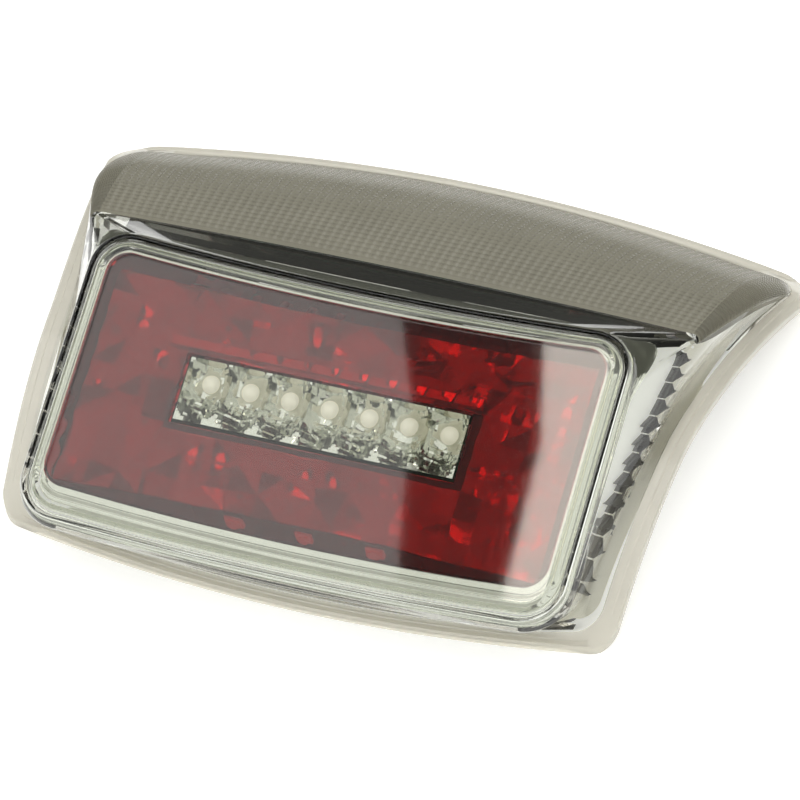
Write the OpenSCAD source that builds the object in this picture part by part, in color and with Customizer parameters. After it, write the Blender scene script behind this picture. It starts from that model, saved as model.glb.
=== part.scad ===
// Motorcycle tail light: a clear cover with a red lens, a window for a row of
// LEDs and a prismatic roof, on an arched base that sits over a curved tail
// panel. It lies on its rim: +Z points out of the light, +Y to its roof and +X
// to the right as seen from the front. The origin is under the middle of it.

/* [Rim] */
// Half the width between the lower corners of the rim
rim_low_half = 66; // [65:0.5:67]
// Half the width at the upper corners, before the wings flare
rim_high_half = 73; // [72:0.5:74]
// Y of the lower corners
rim_low_y = -50; // [-51:0.5:-49.5]
// Y of the upper corners
rim_high_y = 54; // [53.5:0.1:54.2]
// How far the lower edge bows out at its middle
rim_low_bow = 6.5; // [6:0.5:7]
// How far the upper edge bows out at its middle
rim_high_bow = 7; // [6.5:0.1:7.2]
// Radius of the upper corners in plan
rim_high_r = 9; // [8:0.5:10]
// How far the wings flare sideways towards the upper corners
wing_flare = 6; // [5:0.1:6.5]
// Y where the flare starts
wing_start = -8; // [-10:0.5:-6]
// Height of the arch that the sides of the rim follow
arch_h = 16; // [15:0.5:16]
// Y of the top of the arch
arch_y = -5; // [-6:0.5:-4]
// How far the upper edge rises at its middle
back_rise = 2.2; // [2:0.2:2.6]
// Width of the flange around the cover
flange_w = 4; // [3.5:0.5:4]

/* [Shoulder] */
// Half the width of the shoulder at its lower end
shoulder_low_half = 59; // [58.5:0.5:60]
// Half the width of the shoulder at its upper end
shoulder_high_half = 65.9; // [65:0.1:66.5]
// Y of the lower end of the shoulder
shoulder_low_y = -50.4; // [-51:0.1:-50]
// Y of the upper end, where the roof begins
shoulder_high_y = 12.3; // [11.5:0.1:13]
// Radius of its upper corners in plan, where the roof's seams start
shoulder_high_r = 2.2; // [2:0.1:3.5]
// Height of the lower end
shoulder_low_z = 8.3; // [8:0.1:9]
// Slope of the shoulder, in degrees
shoulder_slope = 17.5; // [17:0.1:18]
// Number of prisms along each side
side_teeth = 14; // [10:1:16]
// Crown of the roof at its middle
roof_crown = 4; // [3:0.5:4.5]
// How far the roof's seams swell outwards and upwards at their middle
seam_out = 1.8; // [1.5:0.1:2]
seam_rise = 3.5; // [3:0.1:3.8]

/* [Face] */
// Tilt of the face, in degrees
face_tilt = 21.3; // [20.8:0.1:21.8]
// Y of the lower edge of the face
face_y = -54.5; // [-55:0.1:-54]
// Height of the lower edge of the face
face_z = 18.1; // [17.8:0.1:18.6]
// Half the width of the frame around the face
frame_half = 58; // [57.5:0.5:58.5]
// Lower edge of the frame, along the face
frame_low = -5.3; // [-5.5:0.1:-5]
// Upper edge of the frame, along the face
frame_high = 58.3; // [58:0.1:58.6]
// Radius of the frame's corners
frame_r = 9; // [8:0.5:10]
// How far the edges of the face bow towards its lower side
face_bow = 2; // [1.5:0.1:2.2]
// Wall of the cover
wall = 1.8; // [1.6:0.1:1.8]

/* [Red lens] */
// Half the width of the red lens
red_half = 53.6; // [53.4:0.1:53.6]
// Middle of the red lens, across the face
red_x = -1; // [-1:0.1:-0.9]
// Lower edge of the red lens, along the face
red_low = 2.6; // [2.5:0.1:2.8]
// Upper edge of the red lens, along the face
red_high = 54.3; // [54:0.1:54.4]
// Radius of its corners
red_r = 5; // [4:0.5:6]
// Thickness of the red lens
red_t = 2; // [1.8:0.1:2]
// Half the width of the window for the LEDs
window_half = 30.4; // [30.4:0.1:30.6]
// Middle of the window and of its LEDs, across the face
window_x = -1.5; // [-1.6:0.1:-1.4]
// Lower edge of the window, along the face
window_low = 20.4; // [20.3:0.1:20.5]
// Upper edge of the window, along the face
window_high = 35.4; // [35.4:0.1:35.5]

/* [LEDs] */
// Number of LEDs in the row
led_count = 7; // [7:1:7]
// Distance between LEDs
led_pitch = 8.5; // [8.4:0.1:8.5]
// Centre line of the LEDs, along the face
led_v = 31.5; // [31.4:0.1:31.6]
// Depth of the LED board's top under the face
led_board_h = -9.6; // [-9.8:0.1:-9.5]
// Radius of an LED's dome
led_r = 2; // [1.5:0.1:2.1]

/* [Base] */
// Thickness of the gasket under the base
gasket_t = 1.2; // [1:0.1:1.4]
// Thickness of the base plate
base_t = 1.8; // [1.6:0.1:2]
// Half the width of the base at its lower end
base_low_half = 56.5; // [56:0.5:57]
// Half the width of the base at its upper end
base_high_half = 63.5; // [63:0.5:64]
// Y of the lower end of the base
base_low_y = -45; // [-45.5:0.5:-44.5]
// Y of the upper end of the base
base_high_y = 48.5; // [48:0.5:49]

/* [Fixings] */
// Distance between the two fixing holes
fixing_pitch = 84; // [80:1:86]
// Y of the fixing holes
fixing_y = 30; // [29:0.5:31]
// Radius of the fixing holes, for M5 studs
fixing_r = 2.75; // [2.6:0.05:2.9]
// X of the two screws that hold the cover
screw_x = 57; // [56:0.5:58]
// Y of the screws that hold the cover
screw_y = 37; // [36:0.5:38]
// Radius of the screws' shanks
screw_r = 1.5; // [1.4:0.05:1.5]
// Running clearance of the screws
screw_gap = 0.07; // [0.05:0.01:0.1]
// Y of the cable inlet
inlet_y = 43; // [42.5:0.5:43]
// Radius of the bore in the cable grommet
inlet_r = 3.2; // [2.5:0.1:3.4]
// Radius of the locating peg
peg_r = 3; // [2.5:0.1:3.2]
// Y of the locating peg
peg_y = -38; // [-39:0.5:-37]

/* [Hidden] */
$fn = 48;
// Columns along the lower edge, a corner, a side and the upper edge of a loop
LOW_N = 10;
CORNER_N = 4;
SIDE_N = 14;
HIGH_N = 14;
COLUMNS = LOW_N + HIGH_N + 2 * SIDE_N + 4 * CORNER_N;
// First and last column of the roof
ROOF_FIRST = LOW_N + CORNER_N + SIDE_N;
ROOF_LAST = ROOF_FIRST + 2 * CORNER_N + HIGH_N;
// Steps from the flange to the shoulder
WALL_N = 6;
ROOF_ROW = 1;
SHOULDER_ROW = ROOF_ROW + WALL_N;
// Height of the flange's upper side over the arch, at its edge and its foot
edge_lift = wall + 0.3;
foot_lift = edge_lift + 0.5;
// Columns below a seam over which its swelling fades
SEAM_REACH = 7;
// Outset from the frame's outline and height over the face of the frame's rows
FRAME_ROWS = [[0.6, -3], [-0.7, 0.9], [-2, -0.4], [-3.4, 0.5], [-4.6, 0]];
// Undersides of the layers behind the face
red_top = -wall - 0.15;
red_under = red_top - red_t;
tray_top = red_under - 0.85;
tray_t = 1.2;
cup_top = -2.6;
cup_floor = led_board_h + 1.6;
// Where the roof's reflector starts and how steep it is
roof_reflector_y = 15;
roof_reflector_z = 22.2;
roof_reflector_slope = 27;
base_top = gasket_t + base_t;
// Undersides and tops of the pads for the fixing studs, the screws and the cable
boss_low = 6.4;
boss_high = 14.6;
screw_pad_low = 4.9;
screw_seat = 7;
screw_pad_high = 10.7;
inlet_pad_high = 7.4;
peg_low = 0.5;
peg_root = 3.4;
lens_boss_foot = screw_pad_high + 0.2;
lens_boss_bore = 15.2;
driver_z = 22.6;
board_t = 1.2;
// Centre line of the LED board's screws, along the face
board_v = 27.5;

function lerp(a, b, t) = a + (b - a) * t;
function unit(v) = v / norm(v);

// A closed loop of points in a plane: a rounded trapezium, counterclockwise
// from its lower left corner, whose lower and upper edges bow outwards.
function plain_loop(half_low, half_high, low, high, r_low, r_high) = concat(
    [for (i = [0:LOW_N - 1]) [(half_low - r_low) * (2 * i / LOW_N - 1), low]],
    corner(half_low - r_low, low + r_low, r_low, -90),
    [for (i = [0:SIDE_N - 1]) side_point(i / SIDE_N, 1,
        half_low, half_high, low + r_low, high - r_high)],
    corner(half_high - r_high, high - r_high, r_high, 0),
    [for (i = [0:HIGH_N - 1])
        [(half_high - r_high) * (1 - 2 * i / HIGH_N), high]],
    corner(r_high - half_high, high - r_high, r_high, 90),
    [for (i = [0:SIDE_N - 1]) side_point(1 - i / SIDE_N, -1,
        half_low, half_high, low + r_low, high - r_high)],
    corner(r_low - half_low, low + r_low, r_low, 180));
function corner(x, y, r, start) = [for (i = [0:CORNER_N - 1])
    let (a = start + 90 * i / CORNER_N) [x + r * cos(a), y + r * sin(a)]];
function side_point(t, side, half_low, half_high, low, high) =
    [side * lerp(half_low, half_high, t), lerp(low, high, t)];
function bowed_loop(half_low, half_high, low, high, r_low, r_high,
        bow_low, bow_high) = [for (p = plain_loop(half_low, half_high, low,
            high, r_low, r_high))
    let (t = (p[1] - low) / (high - low),
        rest = 1 - pow(p[0] / lerp(half_low, half_high, t), 2))
    [p[0], p[1] + rest * lerp(-bow_low, bow_high, t)]];

// Height of an arch that is zero at both ends of its stretch of Y.
function arch(y, low, high) = y < low || y > high ? 0
    : y < arch_y ? arch_h * (1 - pow((arch_y - y) / (arch_y - low), 2))
    : arch_h * (1 - pow((y - arch_y) / (high - arch_y), 2));
function rim_z(x, y) = arch(y, rim_low_y, rim_high_y)
    + back_rise * (1 - pow(x / rim_high_half, 2))
    * pow(max(0, y / rim_high_y), 2);
function base_z(y) = arch(y, base_low_y, base_high_y - 1);

// Rows of the cover's outer surface, from the flange inwards.
function rim_row(inset, lift) = [for (p = bowed_loop(rim_low_half - inset,
        rim_high_half - inset, rim_low_y + inset * 0.6,
        rim_high_y - inset * 0.6, 5, rim_high_r - inset * 0.75,
        rim_low_bow, rim_high_bow))
    let (out = pow(max(0, (p[1] - wing_start) / (rim_high_y - wing_start)), 1.4))
    [p[0] + sign(p[0]) * wing_flare * out * min(1, abs(p[0]) / 60), p[1],
        rim_z(p[0], p[1]) + lift]];
function shoulder_row() = [for (p = bowed_loop(shoulder_low_half,
        shoulder_high_half, shoulder_low_y, shoulder_high_y,
        7, shoulder_high_r, 6, 1))
    [p[0], p[1], shoulder_low_z
        + tan(shoulder_slope) * (p[1] - shoulder_low_y)]];
function on_face(x, v, h) =
    [x, face_y + v * cos(face_tilt) - h * sin(face_tilt),
        face_z + v * sin(face_tilt) + h * cos(face_tilt)];
function face_loop(outset) = bowed_loop(frame_half + outset,
    frame_half + outset, frame_low - outset, frame_high + outset,
    frame_r + outset, frame_r + outset, face_bow, -face_bow);
function face_row(outset, h) =
    [for (p = face_loop(outset)) on_face(p[0], p[1], h)];
// Where a column lies across the roof, from 0 at its middle to 1 at its seams.
function across(i) = min(1, abs(2 * (i - ROOF_FIRST)
    / (ROOF_LAST - ROOF_FIRST) - 1));
// How strongly a column follows the swelling of the nearest seam.
function swell(i) = i >= ROOF_FIRST && i <= ROOF_LAST ? pow(across(i), 4)
    : pow(max(0, 1 - (i < ROOF_FIRST ? ROOF_FIRST - i : i - ROOF_LAST)
        / SEAM_REACH), 2);
function wall_row(foot, top, t) = [for (i = [0:COLUMNS - 1])
    let (s = sign(foot[i][0]), roof = i >= ROOF_FIRST && i <= ROOF_LAST)
    lerp(foot[i], top[i], t) + sin(180 * t) * (
        [s * seam_out, 0, seam_rise] * swell(i)
        + [0, 0.45, 0.9] * (roof ? roof_crown * (1 - pow(across(i), 4)) : 0)
        - [s * (roof ? 0 : 0.8 * (1 - swell(i))), 0, 0])];
function cover_rows(relief) = let (foot = rim_row(flange_w, foot_lift),
        top = shoulder_row())
    concat([rim_row(0, edge_lift), foot],
        [for (k = [1:WALL_N - 1]) wall_row(foot, top, k / WALL_N)], [top],
        [for (k = [0:len(FRAME_ROWS) - 1]) face_row(FRAME_ROWS[k][0],
            FRAME_ROWS[k][1] * (k == 0 ? 1 : relief))]);

// The inner surface lies one wall under the outer one, without its relief.
function normal_at(rows, k, i) = let (last = len(rows) - 1,
        before = (i + COLUMNS - 1) % COLUMNS, after = (i + 1) % COLUMNS,
        along = rows[k][after] - rows[k][before],
        up = rows[min(k + 1, last)][i] - rows[max(k - 1, 0)][i])
    unit(cross(along, up));
function inner_rows(rows, t) = [for (k = [0:len(rows) - 1])
    [for (i = [0:COLUMNS - 1]) rows[k][i] - t * normal_at(rows, k, i)]];

// True for the cells of the grid that belong to the roof.
function on_roof(k, i) = k >= ROOF_ROW && k < SHOULDER_ROW
    && i >= ROOF_FIRST && i < ROOF_LAST;
// The corners of a cell in the order that faces outwards, and the cell that
// lies across the edge between each corner and the next.
CELL = [[0, 0], [1, 0], [1, 1], [0, 1]];
BESIDE = [[0, -1], [1, 0], [0, 1], [-1, 0]];

// A shell between two grids of points. Where a cell is missing beside one that
// is there, a strip closes the edge. The roof's cells make the roof lens, and
// the others the cover, whose last row is closed by a flat cap.
module shell(outer, inner, roof) {
    rows = len(outer);
    function spot(k, i, side) = (side * rows + k) * COLUMNS + i % COLUMNS;
    function kept(k, i) = k >= 0 && k < rows - 1
        && on_roof(k, (i + COLUMNS) % COLUMNS) == roof;
    function closed(k) = !roof && k == rows - 1;
    // Cut along the same diagonal from both sides, so that neighbours meet.
    function strip(a, b, under_a, under_b) = a < b
        ? [[b, a, under_b], [a, under_a, under_b]]
        : [[b, a, under_a], [b, under_a, under_b]];
    cells = [for (k = [0:rows - 2], i = [0:COLUMNS - 1]) if (kept(k, i)) [k, i]];
    skins = [for (c = cells, side = [0, 1]) let (q = [for (d = CELL)
            spot(c[0] + d[0], c[1] + d[1], side)])
        each side == 0 ? [[q[0], q[1], q[2]], [q[0], q[2], q[3]]]
            : [[q[2], q[1], q[0]], [q[3], q[2], q[0]]]];
    edges = [for (c = cells, e = [0:3]) let (n = c + BESIDE[e],
            a = c + CELL[e], b = c + CELL[(e + 1) % 4])
        if (!kept(n[0], n[1]) && !closed(n[0]))
            each strip(spot(a[0], a[1], 0), spot(b[0], b[1], 0),
                spot(a[0], a[1], 1), spot(b[0], b[1], 1))];
    caps = roof ? [] : [[for (i = [COLUMNS - 1:-1:0]) spot(rows - 1, i, 0)],
        [for (i = [0:COLUMNS - 1]) spot(rows - 1, i, 1)]];
    polyhedron(concat([for (row = outer) each row],
        [for (row = inner) each row]), concat(skins, edges, caps));
}

// Places its children in the frame of the face: X across, Y up the face and
// Z out of it.
module in_face() {
    translate([0, face_y, face_z]) rotate([face_tilt, 0, 0]) children();
}
// A plate in the frame of the face, between two heights.
module face_plate(low, high) {
    in_face() translate([0, 0, low]) linear_extrude(high - low) children();
}
module red_outline(inset) {
    translate([red_x, 0]) polygon(bowed_loop(red_half - inset,
        red_half - inset, red_low + inset, red_high - inset, red_r, red_r,
        face_bow, -face_bow));
}
module frame_outline(outset) {
    polygon(face_loop(outset));
}
module base_outline(outset) {
    polygon(bowed_loop(base_low_half + outset, base_high_half + outset,
        base_low_y - outset, base_high_y + outset, 6, 6, 6, 3));
}
module rectangle(half, low, high, middle = 0) {
    translate([middle - half, low]) square([2 * half, high - low]);
}
// A sheet across the whole width, between two heights over the base's arch.
module arched_sheet(low, high) {
    ys = [for (i = [-30:30]) 2 * i];
    rotate([90, 0, 90]) linear_extrude(160, center = true)
        polygon(concat([for (y = ys) [y, base_z(y) + low]],
            [for (i = [len(ys) - 1:-1:0]) [ys[i], base_z(ys[i]) + high]]));
}
module arched_plate(low, high) {
    intersection() {
        arched_sheet(low, high);
        linear_extrude(80) children();
    }
}
module pillar(x, y, low, high, r) {
    translate([x, y, low]) cylinder(h = high - low, r = r);
}
module ring(x, y, low, high, outer, inner) {
    difference() {
        pillar(x, y, low, high, outer);
        pillar(x, y, low - 1, high + 1, inner);
    }
}
module brick(x, y, z, size) {
    translate([x - size[0] / 2, y - size[1] / 2, z]) cube(size);
}

module base_posts() {
    intersection() {
        arched_sheet(gasket_t + 0.4, 60);
        union() {
            in_face() for (x = [-42, 42], v = [14, 44])
                pillar(x, v, -30, tray_top - tray_t, 2.2);
            in_face() for (x = [-32.2, 32.2])
                pillar(window_x + x, board_v, -22, led_board_h - board_t, 2);
            for (x = [-26, 26], y = [-8, 4]) pillar(x, y, 10, driver_z, 2);
            for (x = [-50, 50]) pillar(x, 17, 5,
                roof_reflector_z - 3.7, 1.8);
            for (x = [-20, 20]) brick(x, -42.9, 1, [4, 1.6, 12]);
        }
    }
}
module base_housing() {
    color([0.13, 0.13, 0.14]) difference() {
        union() {
            arched_plate(gasket_t, base_top) base_outline(0);
            base_posts();
            for (side = [-1, 1]) {
                pillar(side * fixing_pitch / 2, fixing_y, boss_low, boss_high, 8);
                pillar(side * screw_x, screw_y, screw_pad_low,
                    screw_pad_high, 4.4);
            }
            pillar(0, inlet_y, gasket_t, inlet_pad_high, 6.4);
            pillar(0, peg_y, peg_low, 8, peg_r);
            pillar(0, peg_y, peg_root, 8, 5);
        }
        for (side = [-1, 1]) {
            pillar(side * fixing_pitch / 2, fixing_y, 0, 20, 5.5);
            pillar(side * screw_x, screw_y, 0, 20, screw_r + screw_gap);
            pillar(side * screw_x, screw_y, 0, screw_seat, 3.3);
        }
        pillar(0, inlet_y, 0, 20, 4.6);
        pillar(0, inlet_y, inlet_pad_high, 20, 6.4);
    }
}
module body_gasket() {
    color([0.06, 0.06, 0.06]) arched_plate(0, gasket_t) difference() {
        base_outline(0);
        base_outline(-6);
        for (x = [-screw_x, screw_x]) translate([x, screw_y]) circle(r = 4.8);
        translate([0, inlet_y]) circle(r = 6.8);
    }
}
module lens_seal() {
    color([0.09, 0.09, 0.09]) arched_plate(gasket_t + 0.1, base_top - 0.2)
        difference() {
            base_outline(0.9);
            base_outline(0);
        }
}
module main_reflector() {
    color([0.8, 0.8, 0.82]) face_plate(tray_top - tray_t, tray_top)
        difference() {
            rectangle(50, 9, 47);
            rectangle(window_half + 1.2, window_low - 1, window_high + 1.4,
                window_x);
        }
}
module roof_reflector() {
    color([0.75, 0.76, 0.74]) difference() {
        translate([0, roof_reflector_y, roof_reflector_z])
            rotate([-roof_reflector_slope, 0, 0])
            translate([0, 0, -1.2]) linear_extrude(1.2)
            polygon([[-56, 0], [56, 0], [59, 28], [-59, 28]]);
        for (side = [-1, 1]) {
            pillar(side * fixing_pitch / 2, fixing_y, 0, 40, 9);
            pillar(side * screw_x, screw_y, 0, 40, 4.6);
        }
        pillar(0, inlet_y, 0, 40, 7);
    }
}
module led_reflector() {
    cup = [led_pitch - 0.7, window_high - window_low - 2.2];
    skirt_top = cup_floor + 1.2;
    led_hole = 3.8;
    color([0.86, 0.86, 0.88]) in_face() difference() {
        union() {
            translate([0, 0, skirt_top]) linear_extrude(cup_top - skirt_top)
                rectangle(window_half - 0.5, window_low + 0.9,
                    window_high - 0.3, window_x);
            translate([0, 0, led_board_h])
                linear_extrude(skirt_top - led_board_h)
                rectangle(window_half + 0.4, window_low, led_v + led_hole + 0.9,
                    window_x);
        }
        for (i = [1:led_count]) intersection() {
            translate([led_x(i), led_v, cup_floor - 0.01])
                cylinder(h = cup_top - cup_floor + 1, r1 = led_r + 0.3, r2 = 11);
            translate([led_x(i), (window_low + window_high) / 2, cup_floor - 1])
                linear_extrude(20) square(cup, center = true);
        }
        translate([0, 0, led_board_h - 1]) linear_extrude(2.6)
            rectangle(window_half - 0.6, led_v - led_hole, led_v + led_hole,
                window_x);
    }
}
function led_x(i) = window_x + led_pitch * (i - (led_count + 1) / 2);
module led_board() {
    color([0.1, 0.3, 0.16]) face_plate(led_board_h - board_t, led_board_h)
        difference() {
            rectangle(35, 17.5, 37.5, window_x);
            for (x = [-33, 33]) translate([window_x + x, board_v])
                circle(r = 1.3);
        }
}
module led(i) {
    color([0.95, 0.94, 0.85]) in_face() translate([led_x(i), led_v, led_board_h]) {
        translate([-3.5, -3.5, 0]) cube([7, 7, 1.5]);
        cylinder(h = led_r + 0.1, r = led_r);
        translate([0, 0, led_r + 0.1]) sphere(r = led_r);
    }
}
module board_screws() {
    color([0.7, 0.7, 0.72]) in_face() for (x = [-33, 33])
        translate([window_x + x, board_v, led_board_h]) {
            cylinder(h = 1.6, r = 1.7);
            translate([0, 0, -board_t]) cylinder(h = board_t + 0.5, r = 1.2);
        }
}
module driver_board() {
    color([0.1, 0.3, 0.16]) brick(-3, -2, driver_z, [66, 16, board_t]);
}
module resistors() {
    color([0.75, 0.65, 0.45]) for (i = [0:3])
        translate([-25 + 6 * i, -5, driver_z + board_t + 1.1])
            rotate([-90, 0, 0]) cylinder(h = 6, r = 1.1);
}
module bridge_rectifier() {
    color([0.12, 0.12, 0.13]) brick(4, -2, driver_z + board_t, [8, 6, 2.6]);
}
module voltage_regulator() {
    color([0.15, 0.15, 0.16]) {
        brick(15, -2.5, driver_z + board_t, [9, 8, 3]);
        brick(15, 2.5, driver_z + board_t, [9, 2.4, 1]);
    }
}
module capacitor() {
    color([0.2, 0.22, 0.3]) translate([22, 0.5, driver_z + board_t + 2.2])
        rotate([0, 90, 0]) cylinder(h = 7, r = 2.2);
}
module plate_light_board() {
    color([0.1, 0.3, 0.16]) brick(0, -44.3, 4.5, [48, board_t, 9]);
}
module plate_leds() {
    color([0.95, 0.95, 0.9]) for (x = [-15, 0, 15]) {
        brick(x, -45.4, 7.2, [3.6, 1, 3.6]);
        translate([x, -45.9, 9]) rotate([90, 0, 0]) cylinder(h = 0.8, r = 1.4);
    }
}
module terminal_block() {
    color([0.85, 0.84, 0.8]) difference() {
        brick(-30.5, -2, driver_z + board_t, [7, 13, 4]);
        for (y = [-6, -2, 2])
            pillar(-30.5, y, driver_z + board_t + 1, 40, 1.4);
    }
}
module terminal_blades() {
    color([0.8, 0.68, 0.35]) for (y = [-6, -2, 2])
        brick(-36.5, y, driver_z + board_t + 1, [5, 2.8, 0.8]);
}
module cable_grommet() {
    color([0.07, 0.07, 0.07]) difference() {
        union() {
            pillar(0, inlet_y, 0.2, gasket_t, 6);
            pillar(0, inlet_y, gasket_t, inlet_pad_high, 4.6);
            pillar(0, inlet_y, inlet_pad_high, inlet_pad_high + 1.2, 6);
        }
        pillar(0, inlet_y, -1, 20, inlet_r);
    }
}
module mount_grommet(side) {
    x = side * fixing_pitch / 2;
    color([0.07, 0.07, 0.07]) difference() {
        union() {
            pillar(x, fixing_y, boss_low - 1.2, boss_low, 7.5);
            pillar(x, fixing_y, boss_low, boss_high, 5.5);
            pillar(x, fixing_y, boss_high, boss_high + 1.2, 7.5);
        }
        pillar(x, fixing_y, -1, 20, fixing_r + 1);
    }
}
module mount_sleeve(side) {
    color([0.75, 0.75, 0.76]) ring(side * fixing_pitch / 2, fixing_y,
        boss_low - 1.4, boss_high + 1.4, fixing_r + 1, fixing_r);
}

module outer_lens() {
    color([0.86, 0.88, 0.82, 0.5])
        shell(cover_rows(1), inner_rows(cover_rows(0), wall), false);
}
// The roof, with a boss for each screw that reaches into its inner side.
module roof_lens() {
    boss_slope = 30.2;
    boss_head = 17;
    color([0.55, 0.56, 0.48, 0.7]) difference() {
        union() {
            shell(cover_rows(1), inner_rows(cover_rows(0), wall), true);
            difference() {
                for (side = [-1, 1])
                    pillar(side * screw_x, screw_y, lens_boss_foot, 30, 3.8);
                translate([-80, screw_y, boss_head])
                    rotate([-boss_slope, 0, 0]) translate([0, -20, 0])
                    cube([160, 40, 30]);
            }
        }
        for (side = [-1, 1])
            pillar(side * screw_x, screw_y, 0, lens_boss_bore, 2.6);
    }
}
module red_lens() {
    color([0.6, 0.05, 0.06, 0.85]) {
        face_plate(red_under, red_top) difference() {
            red_outline(0);
            rectangle(window_half, window_low, window_high, window_x);
        }
    }
}
module chrome_surround() {
    color([0.8, 0.82, 0.8]) face_plate(red_under - 1, -wall - 0.3)
        difference() {
            red_outline(-1);
            red_outline(-0.2);
        }
}
// A strip of prisms inside the cover's side, above the shoulder.
module side_reflector(side) {
    start = 5;
    tooth = 3.9;
    spread = (shoulder_high_half - shoulder_low_half)
        / (shoulder_high_y - shoulder_low_y);
    function edge(s, depth) = [side * (shoulder_low_half + spread * s - depth), s];
    far = start + side_teeth * tooth;
    color([0.82, 0.84, 0.82]) translate([0, shoulder_low_y, shoulder_low_z])
        rotate([shoulder_slope, 0, 0]) translate([0, 0, 1.6])
        linear_extrude(1.4) polygon(concat(
            [edge(start, 7.2)],
            [for (i = [0:side_teeth - 1]) each
                [edge(start + tooth * i, 5.8),
                    edge(start + tooth * (i + 0.5), 4)]],
            [edge(far, 5.8), edge(far, 7.2)]));
}
module screw_insert(side) {
    color([0.8, 0.66, 0.3]) ring(side * screw_x, screw_y, lens_boss_foot,
        lens_boss_bore, 2.54, screw_r + screw_gap);
}
module lens_screw(side) {
    head_high = screw_seat - 0.1;
    head_low = head_high - 2;
    color([0.68, 0.68, 0.7]) translate([side * screw_x, screw_y, 0])
        difference() {
            union() {
                translate([0, 0, head_low])
                    cylinder(h = head_high - head_low, r = 2.9);
                translate([0, 0, head_high - 0.01])
                    cylinder(h = 7.7, r = screw_r);
            }
            for (turn = [0, 90]) rotate([0, 0, turn])
                brick(0, 0, head_low - 1, [3.4, 0.8, 2.1]);
        }
}

base_housing();
body_gasket();
lens_seal();
main_reflector();
roof_reflector();
led_reflector();
led_board();
led(1);  // led_1
led(2);  // led_2
led(3);  // led_3
led(4);  // led_4
led(5);  // led_5
led(6);  // led_6
led(7);  // led_7
board_screws();
driver_board();
resistors();
bridge_rectifier();
voltage_regulator();
capacitor();
plate_light_board();
plate_leds();
terminal_block();
terminal_blades();
cable_grommet();
mount_grommet(-1);  // mount_grommet_left
mount_grommet(1);  // mount_grommet_right
mount_sleeve(-1);  // mount_sleeve_left
mount_sleeve(1);  // mount_sleeve_right
outer_lens();
roof_lens();
red_lens();
chrome_surround();
side_reflector(-1);  // side_reflector_left
side_reflector(1);  // side_reflector_right
screw_insert(-1);  // insert_left
screw_insert(1);  // insert_right
lens_screw(-1);  // lens_screw_left
lens_screw(1);  // lens_screw_right
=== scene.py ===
"""Looks of the motorcycle tail light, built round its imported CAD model.

Lengths inside the shape functions are millimetres in the row's frame, and
piece() turns them into metres. +Z points out of the light, +Y to its roof.
"""

import math

import bpy
import numpy as np
from mathutils import Matrix, Vector


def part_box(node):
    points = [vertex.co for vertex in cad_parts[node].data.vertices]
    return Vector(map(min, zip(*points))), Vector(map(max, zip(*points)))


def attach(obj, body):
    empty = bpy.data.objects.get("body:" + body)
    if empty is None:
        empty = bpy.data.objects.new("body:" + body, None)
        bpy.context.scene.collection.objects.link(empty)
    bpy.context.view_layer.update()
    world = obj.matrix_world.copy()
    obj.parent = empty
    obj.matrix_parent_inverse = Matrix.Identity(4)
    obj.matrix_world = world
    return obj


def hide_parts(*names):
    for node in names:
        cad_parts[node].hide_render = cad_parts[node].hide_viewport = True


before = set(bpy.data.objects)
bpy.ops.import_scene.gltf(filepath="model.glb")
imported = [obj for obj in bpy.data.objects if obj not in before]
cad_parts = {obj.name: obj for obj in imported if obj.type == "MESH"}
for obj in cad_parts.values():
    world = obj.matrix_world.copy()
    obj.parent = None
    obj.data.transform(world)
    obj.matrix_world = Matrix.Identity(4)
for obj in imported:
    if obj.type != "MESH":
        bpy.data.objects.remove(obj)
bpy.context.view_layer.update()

MM = 0.001

# Driving sizes, the same as the CAD model's.
RIM_LOW_HALF = 66.0
RIM_HIGH_HALF = 73.0
RIM_LOW_Y = -50.0
RIM_HIGH_Y = 54.0
RIM_LOW_BOW = 6.5
RIM_HIGH_BOW = 7.0
RIM_HIGH_R = 9.0
WING_FLARE = 6.0
WING_START = -8.0
ARCH_H = 16.0
ARCH_Y = -5.0
BACK_RISE = 2.2
FLANGE_W = 4.0
SHOULDER_LOW_HALF = 59.0
SHOULDER_HIGH_HALF = 65.9
SHOULDER_LOW_Y = -50.4
SHOULDER_HIGH_Y = 12.3
SHOULDER_HIGH_R = 1.6
SHOULDER_LOW_Z = 8.3
SHOULDER_SLOPE = math.tan(math.radians(17.5))
ROOF_CROWN = 4.0
SEAM_OUT = 1.8
SEAM_RISE = 3.5
FACE_TILT = math.radians(21.3)
FACE_Y = -54.5
FACE_Z = 18.1
FRAME_HALF = 58.0
FRAME_LOW = -5.3
FRAME_HIGH = 58.3
FRAME_R = 9.0
FACE_BOW = 2.0
RED_X = -1.0
RED_HALF = 53.6
RED_LOW = 2.6
RED_HIGH = 54.3
RED_R = 5.0
RED_T = 2.0
WINDOW_X = -1.5
WINDOW_HALF = 30.4
WINDOW_LOW = 20.4
WINDOW_HIGH = 35.4
LED_COUNT = 7
LED_PITCH = 8.5
LED_V = 31.5
LED_R = 2.0
LED_BOARD_H = -9.6
SCREW_X = 57.0
SCREW_Y = 37.0
WALL = 1.8
EDGE_LIFT = WALL + 0.3
FOOT_LIFT = EDGE_LIFT + 0.5
RED_TOP = -WALL - 0.15
RED_UNDER = RED_TOP - RED_T
TRAY_TOP = RED_UNDER - 0.85

# Columns along the lower edge, a corner, a side and the upper edge of a loop.
LOW_N = 40
CORNER_N = 10
SIDE_N = 48
HIGH_N = 48
COLUMNS = LOW_N + HIGH_N + 2 * SIDE_N + 4 * CORNER_N
RIGHT_FIRST = LOW_N + CORNER_N
ROOF_FIRST = RIGHT_FIRST + SIDE_N
ROOF_LAST = ROOF_FIRST + 2 * CORNER_N + HIGH_N
# Columns over which the seam's rise dies out down the side
SEAM_REACH = SIDE_N / 2
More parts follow.
